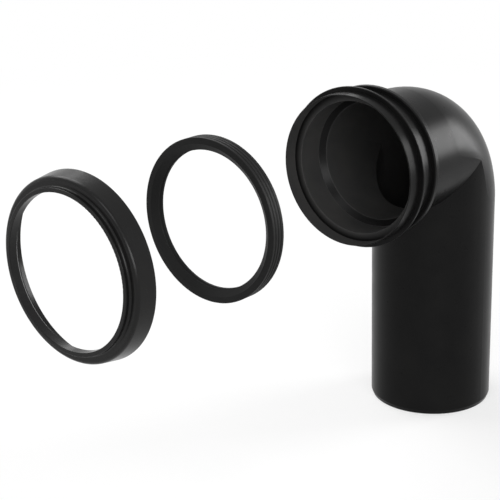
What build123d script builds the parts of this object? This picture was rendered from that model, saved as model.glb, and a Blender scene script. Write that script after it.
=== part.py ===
from build123d import *
import os

# Lengths are in millimetres. The leg stands on +Z and the socket opens toward -Y.
# Stations of the socket are distances in front of the leg's axis.

# Pipe of the leg and of the short run behind the socket
leg_radius = 45.0
pipe_wall = 3.25
bore_radius = leg_radius - pipe_wall
socket_height = 199.3
bend_radius = leg_radius
bend_swell = 0.05

# Chamfer at the free end of the leg
spigot_chamfer_depth = 1.2
spigot_chamfer_height = 3.0

# Socket for the pan's outlet pipe, radii from the inside out
pipe_clearance = 0.6
barrel_wall = 4.4
seat_width = 5.45
recess_draft = 0.15
lip_mouth_wall = 0.65
lip_root_wall = 1.4
rib_height = 3.0
flange_height = 3.15
socket_radius = leg_radius + pipe_clearance
barrel_radius = socket_radius + barrel_wall
recess_seat_radius = socket_radius + seat_width
recess_mouth_radius = recess_seat_radius + recess_draft
lip_mouth_radius = recess_mouth_radius + lip_mouth_wall
lip_root_radius = recess_seat_radius + lip_root_wall
rib_radius = lip_root_radius + rib_height
flange_radius = barrel_radius + flange_height

# Stations along the socket, from the pipe stop out to the mouth
stop_station = 78.2
socket_depth = 19.85
recess_depth = 10.05
lip_length = 9.8
rib_width = 2.3
flange_lead = 2.15
flange_width = 4.05
seat_station = stop_station + socket_depth
mouth_station = seat_station + recess_depth
lip_root_station = mouth_station - lip_length
rib_rear_station = lip_root_station - rib_width
flange_front_station = stop_station + flange_lead
flange_rear_station = flange_front_station - flange_width

# Edge roundings of the elbow
rib_edge = 0.5
flange_front_edge = 1.0
flange_rear_edge = 0.5
lip_edge = 0.25
seat_edge = 0.5

# Lip seal, sized by the recess that it sits in and the pipe that it grips
seal_radial_clearance = 0.25
seal_seat_gap = 0.1
seal_front_inset = 0.25
seal_face_width = 3.9
seal_heel_width = 4.6
seal_grip = 2.1
seal_cone_length = 2.9
seal_throat_groove_depth = 0.9
seal_throat_groove_end = 5.2
seal_rear_lip_step = 0.1
seal_rear_lip_start = 5.8
seal_rear_lip_end = 7.1
seal_groove_depth = 0.5
seal_groove_half_width = 0.55
seal_rib_count = 4
seal_edge = 0.4
seal_radius = recess_seat_radius - seal_radial_clearance
seal_length = recess_depth - seal_seat_gap - seal_front_inset
seal_face_inner_radius = seal_radius - seal_face_width
seal_heel_radius = seal_radius - seal_heel_width
seal_throat_radius = leg_radius - seal_grip
seal_throat_groove_radius = seal_throat_radius + seal_throat_groove_depth
seal_rear_lip_radius = seal_throat_radius + seal_rear_lip_step

# Retaining cap, sized by the lip that it pushes over
cap_skirt_clearance = 0.1
cap_skirt_wall = 1.45
cap_skirt_taper = 1.84
cap_plate_gap = 0.15
cap_rear_gap = 1.4
cap_bore_step = 1.2
cap_bore_chamfer = 1.3
cap_collar_wall = 2.5
cap_collar_height = 3.05
cap_collar_root_fillet = 1.2
cap_plate_thickness = 3.55
cap_shoulder_fillet = 2.3
cap_edge = 0.4
cap_lead_in_length = 3.0
cap_lead_in_depth = 0.25
cap_bore_radius = socket_radius - cap_bore_step
cap_collar_radius = cap_bore_radius + cap_collar_wall
cap_radius = lip_root_radius + cap_skirt_clearance + cap_skirt_wall
cap_shoulder_radius = cap_radius - cap_skirt_taper

# Places of the loose rings on the socket axis, drawn apart in front of the mouth
seal_drawn_out = 138.3
ring_spacing = 113.75
seal_front_station = mouth_station + seal_drawn_out
cap_front_station = seal_front_station + ring_spacing


def lathe(corners):
    """Turns a closed outline of (radius, station, rounding) about the socket axis."""
    points = [(0.0, -station, socket_height + radius) for radius, station, rounding in corners]
    roundings = [rounding for radius, station, rounding in corners]
    outline = FilletPolyline(*points, radius=roundings, close=True)
    axis = Axis((0, 0, socket_height), (0, 1, 0))
    return revolve(make_face(outline), axis, 360)


def level_cylinder(radius, rear, front):
    """Cylinder on the socket axis between two stations."""
    plane = Plane(origin=(0, -rear, socket_height), z_dir=(0, -1, 0))
    return extrude(plane * Circle(radius), front - rear)


def upright_cylinder(radius, top):
    """Cylinder on the leg's axis from the ground up."""
    return extrude(Plane.XY * Circle(radius), top)


def mitred_bend(radius, front):
    """Two equal cylinders that meet in a mitre, with the outer corner swept round as a bend."""
    corner_y = -bend_radius
    corner_z = socket_height - bend_radius
    crown_radius = radius + bend_swell
    wide = 2 * radius
    reach = 2 * (bend_radius + radius)
    mid = corner_z + bend_radius
    # Section of the swept corner: a wide slab up to the pipe's axis, then a half round
    slab = Polyline(
        (-crown_radius, corner_y, mid),
        (-wide, corner_y, mid),
        (-wide, corner_y, corner_z),
        (wide, corner_y, corner_z),
        (wide, corner_y, mid),
        (crown_radius, corner_y, mid),
    )
    crown = ThreePointArc(
        (crown_radius, corner_y, mid),
        (0, corner_y, mid + crown_radius),
        (-crown_radius, corner_y, mid),
    )
    turn = Axis((0, corner_y, corner_z), (-1, 0, 0))
    swept = revolve(make_face(slab + crown), turn, 90)
    block = Box(2 * wide, reach, reach, align=(Align.CENTER, Align.MIN, Align.MIN))
    outside = Pos(0, corner_y, corner_z) * block - swept
    mitre = Plane(origin=(0, 0, socket_height), z_dir=(0, 1, -1))
    level = split(level_cylinder(radius, -radius, front), mitre, keep=Keep.BOTTOM)
    upright = split(upright_cylinder(radius, socket_height + radius), mitre, keep=Keep.TOP)
    return (level - outside) + (upright - outside)


# Elbow: outside of bend and leg, with the socket's turned outside added
bend_outside = mitred_bend(leg_radius, flange_rear_station)
socket_outside = lathe([
    (0.0, flange_rear_station, 0.0),
    (flange_radius, flange_rear_station, flange_rear_edge),
    (flange_radius, flange_front_station, flange_front_edge),
    (barrel_radius, flange_front_station, 0.0),
    (barrel_radius, rib_rear_station, 0.0),
    (rib_radius, rib_rear_station, rib_edge),
    (rib_radius, lip_root_station, rib_edge),
    (lip_root_radius, lip_root_station, 0.0),
    (lip_mouth_radius, mouth_station, lip_edge),
    (0.0, mouth_station, 0.0),
])
elbow_outside = bend_outside + socket_outside
spigot_ring = Polyline(
    (leg_radius - spigot_chamfer_depth, 0, 0),
    (leg_radius + spigot_chamfer_depth, 0, 0),
    (leg_radius + spigot_chamfer_depth, 0, 2 * spigot_chamfer_height),
    close=True,
)
elbow_outside = elbow_outside - revolve(make_face(spigot_ring), Axis.Z, 360)

# Elbow: bore, pipe socket and seal recess
cone_length = socket_radius - bore_radius
cone_end_station = stop_station - cone_length
bend_bore = mitred_bend(bore_radius, stop_station)
socket_bore = lathe([
    (0.0, cone_end_station, 0.0),
    (bore_radius, cone_end_station, 0.0),
    (socket_radius, stop_station, 0.0),
    (socket_radius, seat_station, seat_edge),
    (recess_seat_radius, seat_station, 0.0),
    (recess_mouth_radius, mouth_station, 0.0),
    (0.0, mouth_station, 0.0),
])
elbow_body = elbow_outside - (bend_bore + socket_bore)
elbow_body.label = "elbow_body"


def seal_outline():
    """Corners of the lip seal's section, from the front face round the ribbed outside."""
    front = seal_front_station
    pitch = seal_length / seal_rib_count
    corners = [
        (seal_face_inner_radius, front, 0.0),
        (seal_radius, front, seal_edge),
    ]
    for rib in range(1, seal_rib_count):
        middle = front - rib * pitch
        corners.append((seal_radius, middle + seal_groove_half_width, 0.0))
        corners.append((seal_radius - seal_groove_depth, middle, 0.0))
        corners.append((seal_radius, middle - seal_groove_half_width, 0.0))
    corners += [
        (seal_radius, front - seal_length, seal_edge),
        (seal_heel_radius, front - seal_length, 0.0),
        (seal_rear_lip_radius, front - seal_rear_lip_end, 0.0),
        (seal_rear_lip_radius, front - seal_rear_lip_start, 0.0),
        (seal_throat_groove_radius, front - seal_throat_groove_end, 0.0),
        (seal_throat_groove_radius, front - seal_cone_length - seal_edge, 0.0),
        (seal_throat_radius, front - seal_cone_length, 0.0),
    ]
    return corners


lip_seal = lathe(seal_outline())
lip_seal.label = "lip_seal"

# Retaining cap: inside, the skirt follows the taper of the socket's lip at its pushed-home place
cap_plate_inside = cap_collar_height + cap_plate_thickness
cap_skirt_depth = lip_length + cap_plate_gap - cap_rear_gap
cap_length = cap_plate_inside + cap_skirt_depth
lip_taper = (lip_root_radius - lip_mouth_radius) / lip_length
skirt_inner_front_radius = lip_mouth_radius + cap_skirt_clearance
lead_in_depth_in = cap_skirt_depth - cap_lead_in_length
skirt_lead_radius = skirt_inner_front_radius + lip_taper * lead_in_depth_in
skirt_rear_radius = skirt_inner_front_radius + lip_taper * cap_skirt_depth + cap_lead_in_depth
retaining_cap = lathe([
    (cap_bore_radius, cap_front_station, cap_edge),
    (cap_collar_radius, cap_front_station, cap_edge),
    (cap_collar_radius, cap_front_station - cap_collar_height, cap_collar_root_fillet),
    (cap_shoulder_radius, cap_front_station - cap_collar_height, cap_shoulder_fillet),
    (cap_radius, cap_front_station - cap_length, cap_edge),
    (skirt_rear_radius, cap_front_station - cap_length, 0.0),
    (skirt_lead_radius, cap_front_station - cap_plate_inside - lead_in_depth_in, 0.0),
    (skirt_inner_front_radius, cap_front_station - cap_plate_inside, 0.0),
    (cap_bore_radius + cap_bore_chamfer, cap_front_station - cap_plate_inside, 0.0),
    (cap_bore_radius, cap_front_station - cap_plate_inside + cap_bore_chamfer, 0.0),
])
retaining_cap.label = "retaining_cap"

os.makedirs("parts", exist_ok=True)
export_step(elbow_body, "parts/elbow_body.step")
export_step(lip_seal, "parts/lip_seal.step")
export_step(retaining_cap, "parts/retaining_cap.step")
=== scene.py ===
import math

import bpy
from mathutils import Matrix, Vector

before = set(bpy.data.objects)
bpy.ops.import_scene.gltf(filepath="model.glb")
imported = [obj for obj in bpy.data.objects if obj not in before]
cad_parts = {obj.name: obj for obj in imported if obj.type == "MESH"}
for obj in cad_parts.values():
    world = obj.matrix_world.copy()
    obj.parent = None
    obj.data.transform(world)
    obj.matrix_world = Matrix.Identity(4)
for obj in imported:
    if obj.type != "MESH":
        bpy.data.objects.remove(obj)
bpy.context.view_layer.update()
scene = bpy.context.scene

WHITE = (1.0, 1.0, 1.0, 1.0)


# Node helpers

def emptied_tree(owner):
    """Switches on the nodes of a material or world and returns its tree with nothing in it."""
    owner.use_nodes = True
    owner.node_tree.nodes.clear()
    return owner.node_tree


def arithmetic(tree, operation, first, second):
    """A math node on two values, each a socket or a number."""
    node = tree.nodes.new("ShaderNodeMath")
    node.operation = operation
    for slot, value in zip(node.inputs, (first, second)):
        if isinstance(value, (int, float)):
            slot.default_value = value
        else:
            tree.links.new(value, slot)
    return node.outputs["Value"]


def ramp(tree, source, start, stop, first, last, interpolation="LINEAR"):
    """Maps start to stop onto first to last, and holds the value beyond both ends."""
    node = tree.nodes.new("ShaderNodeMapRange")
    node.interpolation_type = interpolation
    node.inputs["From Min"].default_value = start
    node.inputs["From Max"].default_value = stop
    node.inputs["To Min"].default_value = first
    node.inputs["To Max"].default_value = last
    tree.links.new(source, node.inputs["Value"])
    return node.outputs["Result"]


def object_coordinates(tree):
    """The object's own coordinates, as a vector socket."""
    return tree.nodes.new("ShaderNodeTexCoord").outputs["Object"]


def separate(tree, vector):
    """The three parts of a vector."""
    node = tree.nodes.new("ShaderNodeSeparateXYZ")
    tree.links.new(vector, node.inputs["Vector"])
    return (node.outputs[name] for name in "XYZ")


def distance_to_axis(tree, first, second):
    """Distance from an axis, out of the two coordinates across it."""
    first_square = arithmetic(tree, "MULTIPLY", first, first)
    second_square = arithmetic(tree, "MULTIPLY", second, second)
    return arithmetic(tree, "SQRT", arithmetic(tree, "ADD", first_square, second_square), 0.0)


def choose(tree, share, first, second):
    """The first value where share is 0 and the second where it is 1."""
    kept = arithmetic(tree, "MULTIPLY", first, arithmetic(tree, "SUBTRACT", 1.0, share))
    return arithmetic(tree, "ADD", kept, arithmetic(tree, "MULTIPLY", second, share))


def blend_colours(tree, share, first, second):
    """Mixes two colours by a factor."""
    node = tree.nodes.new("ShaderNodeMix")
    node.data_type = "RGBA"
    tree.links.new(share, node.inputs["Factor"])
    tree.links.new(first, node.inputs["A"])
    tree.links.new(second, node.inputs["B"])
    return node.outputs["Result"]


def blend_shaders(tree, share, first, second):
    """Mixes two shaders by a factor."""
    node = tree.nodes.new("ShaderNodeMixShader")
    tree.links.new(share, node.inputs["Fac"])
    tree.links.new(first, node.inputs[1])
    tree.links.new(second, node.inputs[2])
    return node.outputs["Shader"]


def seen_rays(tree):
    """A factor of 1 for rays that show the background: camera, glossy and transmission rays."""
    rays = tree.nodes.new("ShaderNodeLightPath").outputs
    direct = arithmetic(tree, "MAXIMUM", rays["Is Camera Ray"], rays["Is Glossy Ray"])
    return arithmetic(tree, "MAXIMUM", direct, rays["Is Transmission Ray"])


# Materials

# Noise values between these two levels are spread over the whole of a range
NOISE_LOW = 0.3
NOISE_HIGH = 0.7

CLOUD_SCALE = 38.0
CLOUD_DETAIL = 3.0
POLISH_SCALE = 90.0
POLISH_DETAIL = 4.0
GRAIN_DETAIL = 2.0
SINK_SCALE = 22.0
SINK_DETAIL = 1.0
EVEN_NOISE = 0.5
BROKEN_NOISE = 0.6

# Metres on the elbow: stations count from the leg's axis, limits are distances from a pipe's axis
SOCKET_HEIGHT = 0.1993
BEND_RADIUS = 0.0450
STOP_STATION = 0.0781
SEAT_STATION = 0.0983
BORE_LIMIT = 0.0420
SEAT_INNER = 0.0456
SEAT_OUTER = 0.0500
RECESS_LIMIT = 0.0513
INNER_DULLNESS = 0.15


def noise(tree, coords, scale, detail, roughness):
    """A noise texture on the object's own coordinates."""
    node = tree.nodes.new("ShaderNodeTexNoise")
    node.inputs["Scale"].default_value = scale
    node.inputs["Detail"].default_value = detail
    node.inputs["Roughness"].default_value = roughness
    tree.links.new(coords, node.inputs["Vector"])
    return node.outputs["Fac"]


def tint(tree, source, dark, light):
    """A colour between two tones, driven by a noise value."""
    node = tree.nodes.new("ShaderNodeValToRGB")
    low, high = node.color_ramp.elements
    low.position = NOISE_LOW
    low.color = (*dark, 1.0)
    high.position = NOISE_HIGH
    high.color = (*light, 1.0)
    tree.links.new(source, node.inputs["Fac"])
    return node.outputs["Color"]


def bump(tree, source, height):
    """A bump node that raises the surface by a noise value."""
    node = tree.nodes.new("ShaderNodeBump")
    node.inputs["Strength"].default_value = 1.0
    node.inputs["Distance"].default_value = height
    tree.links.new(source, node.inputs["Height"])
    return node


def inside_share(tree, coords):
    """A factor of 1 on the elbow's inner walls, fading out across the flat seat of the seal."""
    # This mask places painted light: a paler inner tone that stands in for reflections the inner
    # walls do not get, plus extra roughness.
    x, y, z = separate(tree, coords)
    from_leg = distance_to_axis(tree, x, y)
    from_socket = distance_to_axis(tree, x, arithmetic(tree, "SUBTRACT", z, SOCKET_HEIGHT))

    # On the outer half of the bend the pipe's axis is an arc about the bend's inner corner
    past_corner = arithmetic(tree, "ADD", y, BEND_RADIUS)
    over_corner = arithmetic(tree, "SUBTRACT", z, SOCKET_HEIGHT - BEND_RADIUS)
    from_corner = distance_to_axis(tree, past_corner, over_corner)
    from_bend = distance_to_axis(tree, x, arithmetic(tree, "SUBTRACT", from_corner, BEND_RADIUS))
    nearer_side = arithmetic(tree, "MINIMUM", past_corner, over_corner)
    in_corner = arithmetic(tree, "GREATER_THAN", nearer_side, 0.0)
    outer_half = arithmetic(tree, "GREATER_THAN", from_corner, BEND_RADIUS)
    on_bend = arithmetic(tree, "MULTIPLY", in_corner, outer_half)
    from_pipes = arithmetic(tree, "MINIMUM", from_leg, from_socket)
    from_axis = choose(tree, on_bend, from_pipes, from_bend)
    in_bore = arithmetic(tree, "LESS_THAN", from_axis, BORE_LIMIT)

    past_stop = arithmetic(tree, "LESS_THAN", y, -STOP_STATION)
    seat_fade = ramp(tree, from_socket, SEAT_INNER, SEAT_OUTER, 1.0, 0.0)
    in_socket = arithmetic(tree, "MULTIPLY", past_stop, seat_fade)
    past_seat = arithmetic(tree, "LESS_THAN", y, -SEAT_STATION)
    within_lip = arithmetic(tree, "LESS_THAN", from_socket, RECESS_LIMIT)
    in_recess = arithmetic(tree, "MULTIPLY", past_seat, within_lip)
    return arithmetic(tree, "MAXIMUM", in_bore, arithmetic(tree, "MAXIMUM", in_socket, in_recess))


def moulded(name, tones, polish, specular, grain_scale, grain_height, sink_height, painted_inner_light_tones=None):
    """Moulded black material: clouded tone, uneven polish, a fine grain and faint sink marks.

    With inner tones given, the elbow's inner walls are duller, and their paler tone is painted light
    that stands in for reflections the inner walls do not get.
    """
    material = bpy.data.materials.new(name)
    tree = emptied_tree(material)
    output = tree.nodes.new("ShaderNodeOutputMaterial")
    shader = tree.nodes.new("ShaderNodeBsdfPrincipled")
    tree.links.new(shader.outputs["BSDF"], output.inputs["Surface"])

    coords = object_coordinates(tree)
    cloud = noise(tree, coords, CLOUD_SCALE, CLOUD_DETAIL, EVEN_NOISE)
    colour = tint(tree, cloud, *tones)
    wear = noise(tree, coords, POLISH_SCALE, POLISH_DETAIL, BROKEN_NOISE)
    roughness = ramp(tree, wear, NOISE_LOW, NOISE_HIGH, *polish)
    if painted_inner_light_tones:
        share = inside_share(tree, coords)
        # Painted light: the inner walls take a paler tone in place of the reflected light that does
        # not reach inside.
        colour = blend_colours(tree, share, colour, tint(tree, cloud, *painted_inner_light_tones))
        dulled = arithmetic(tree, "MULTIPLY", share, INNER_DULLNESS)
        roughness = arithmetic(tree, "ADD", roughness, dulled)
    tree.links.new(colour, shader.inputs["Base Color"])
    tree.links.new(roughness, shader.inputs["Roughness"])
    shader.inputs["Specular IOR Level"].default_value = specular

    grain = bump(tree, noise(tree, coords, grain_scale, GRAIN_DETAIL, BROKEN_NOISE), grain_height)
    sink = bump(tree, noise(tree, coords, SINK_SCALE, SINK_DETAIL, EVEN_NOISE), sink_height)
    tree.links.new(grain.outputs["Normal"], sink.inputs["Normal"])
    tree.links.new(sink.outputs["Normal"], shader.inputs["Normal"])
    return material


elbow_plastic = moulded(
    "elbow_plastic",
    tones=((0.0045, 0.0045, 0.0046), (0.0065, 0.0064, 0.0063)),
    polish=(0.27, 0.33),
    specular=0.075,
    grain_scale=1500.0,
    grain_height=0.00001,
    sink_height=0.00003,
    # Paler inner tones are painted light on the inner walls, standing in for reflections they do not
    # get.
    painted_inner_light_tones=((0.034, 0.034, 0.034), (0.044, 0.043, 0.042)),
)
cap_plastic = moulded(
    "cap_plastic",
    tones=((0.0055, 0.0055, 0.0056), (0.0080, 0.0078, 0.0076)),
    polish=(0.22, 0.28),
    specular=0.16,
    grain_scale=1500.0,
    grain_height=0.00001,
    sink_height=0.00002,
)
seal_rubber = moulded(
    "seal_rubber",
    tones=((0.0045, 0.0045, 0.0045), (0.0070, 0.0070, 0.0070)),
    polish=(0.46, 0.56),
    specular=0.12,
    grain_scale=2200.0,
    grain_height=0.00003,
    sink_height=0.00003,
)

for node_name, material in (
    ("elbow_body", elbow_plastic),
    ("retaining_cap", cap_plastic),
    ("lip_seal", seal_rubber),
):
    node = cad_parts[node_name]
    node.data.materials.clear()
    node.data.materials.append(material)


# Stage: a wide pale floor that the leg stands on

FLOOR_HALF = 14.0
FLOOR_GAP = 0.0004
FLOOR_TONE = 0.6

# Share of shaded floor close to the object, and the distances over which it fades to plain white
SHADOW_SHARE = 0.40
SHADOW_NEAR = 0.5
SHADOW_FAR = 1.5

floor_mesh = bpy.data.meshes.new("floor")
floor_mesh.from_pydata(
    [
        (-FLOOR_HALF, -FLOOR_HALF, -FLOOR_GAP),
        (FLOOR_HALF, -FLOOR_HALF, -FLOOR_GAP),
        (FLOOR_HALF, FLOOR_HALF, -FLOOR_GAP),
        (-FLOOR_HALF, FLOOR_HALF, -FLOOR_GAP),
    ],
    [],
    [(0, 1, 2, 3)],
)
floor = bpy.data.objects.new("floor", floor_mesh)
scene.collection.objects.link(floor)

floor_material = bpy.data.materials.new("floor")
floor_tree = emptied_tree(floor_material)
matt = floor_tree.nodes.new("ShaderNodeBsdfDiffuse")
matt.inputs["Color"].default_value = (FLOOR_TONE, FLOOR_TONE, FLOOR_TONE, 1.0)
pale = floor_tree.nodes.new("ShaderNodeBsdfDiffuse")
pale.inputs["Color"].default_value = WHITE
glow = floor_tree.nodes.new("ShaderNodeEmission")
glow.inputs["Color"].default_value = WHITE
glow.inputs["Strength"].default_value = 1.0
floor_x, floor_y, _ = separate(floor_tree, object_coordinates(floor_tree))
near_share = ramp(
    floor_tree, distance_to_axis(floor_tree, floor_x, floor_y),
    SHADOW_NEAR, SHADOW_FAR, SHADOW_SHARE, 0.0, "SMOOTHSTEP",
)
shown_floor = blend_shaders(floor_tree, near_share, glow.outputs["Emission"], pale.outputs["BSDF"])
floor_shader = blend_shaders(floor_tree, seen_rays(floor_tree), matt.outputs["BSDF"], shown_floor)
floor_output = floor_tree.nodes.new("ShaderNodeOutputMaterial")
floor_tree.links.new(floor_shader, floor_output.inputs["Surface"])
floor_mesh.materials.append(floor_material)


# World: white where it is seen, a mild fill where it lights

FILL_STRENGTH = 0.30

world = bpy.data.worlds.new("studio")
scene.world = world
world_tree = emptied_tree(world)
fill = world_tree.nodes.new("ShaderNodeBackground")
fill.inputs["Color"].default_value = WHITE
fill.inputs["Strength"].default_value = FILL_STRENGTH
backdrop = world_tree.nodes.new("ShaderNodeBackground")
backdrop.inputs["Color"].default_value = WHITE
backdrop.inputs["Strength"].default_value = 1.0
world_shader = blend_shaders(
    world_tree, seen_rays(world_tree), fill.outputs["Background"], backdrop.outputs["Background"]
)
world_output = world_tree.nodes.new("ShaderNodeOutputWorld")
world_tree.links.new(world_shader, world_output.inputs["Surface"])


# Lights: soft boxes that face the object

AIM = Vector((0.0, -0.12, 0.2))


def direction(azimuth, elevation):
    """Unit vector toward an azimuth (0 is -Y, 90 is +X) and an elevation, in degrees."""
    a, e = math.radians(azimuth), math.radians(elevation)
    return Vector((math.sin(a) * math.cos(e), -math.cos(a) * math.cos(e), math.sin(e)))


def softbox(name, azimuth, elevation, distance, width, height, radiance):
    """A rectangular area light at a direction and distance from the aim, turned toward it."""
    data = bpy.data.lights.new(name, "AREA")
    data.shape = "RECTANGLE"
    data.size = width
    data.size_y = height
    data.energy = radiance * math.pi * width * height
    lamp = bpy.data.objects.new(name, data)
    toward = direction(azimuth, elevation)
    lamp.location = AIM + toward * distance
    lamp.rotation_euler = toward.to_track_quat("Z", "Y").to_euler()
    scene.collection.objects.link(lamp)


softbox("back_right", 151.0, 9.0, 2.5, width=1.0, height=1.2, radiance=11.5)
softbox("top_back", -136.0, 30.0, 2.5, width=0.9, height=0.5, radiance=3.5)
softbox("front_top", 14.0, 46.0, 2.4, width=1.1, height=0.8, radiance=4.0)
softbox("front_left", -90.0, 48.0, 2.5, width=2.0, height=1.3, radiance=4.0)
softbox("camera_side", 52.0, 13.0, 2.8, width=2.0, height=1.0, radiance=7.5)


# Camera at the photo's place

CAMERA_PLACE = Vector((0.5071, -0.7944, 0.4307))
CAMERA_AZIMUTH = 40.87
CAMERA_ELEVATION = 18.52
CAMERA_ROLL = -1.68
FOCAL_PIXELS = 1315.3
FRAME_PIXELS = 500.0
SENSOR = 36.0
CLIP_START = 0.01
CLIP_END = 100.0

camera_data = bpy.data.cameras.new("camera")
camera_data.sensor_width = SENSOR
camera_data.lens = FOCAL_PIXELS / FRAME_PIXELS * SENSOR
camera_data.clip_start = CLIP_START
camera_data.clip_end = CLIP_END
camera = bpy.data.objects.new("camera", camera_data)
back = direction(CAMERA_AZIMUTH, CAMERA_ELEVATION)
heading = math.radians(CAMERA_AZIMUTH)
level = Vector((math.cos(heading), math.sin(heading), 0.0))
upward = back.cross(level)
roll = math.radians(CAMERA_ROLL)
side = math.cos(roll) * level + math.sin(roll) * upward
top = -math.sin(roll) * level + math.cos(roll) * upward
turn = Matrix((side, top, back)).transposed()
camera.matrix_world = Matrix.Translation(CAMERA_PLACE) @ turn.to_4x4()
scene.collection.objects.link(camera)
scene.camera = camera
scene.view_settings.view_transform = "Standard"
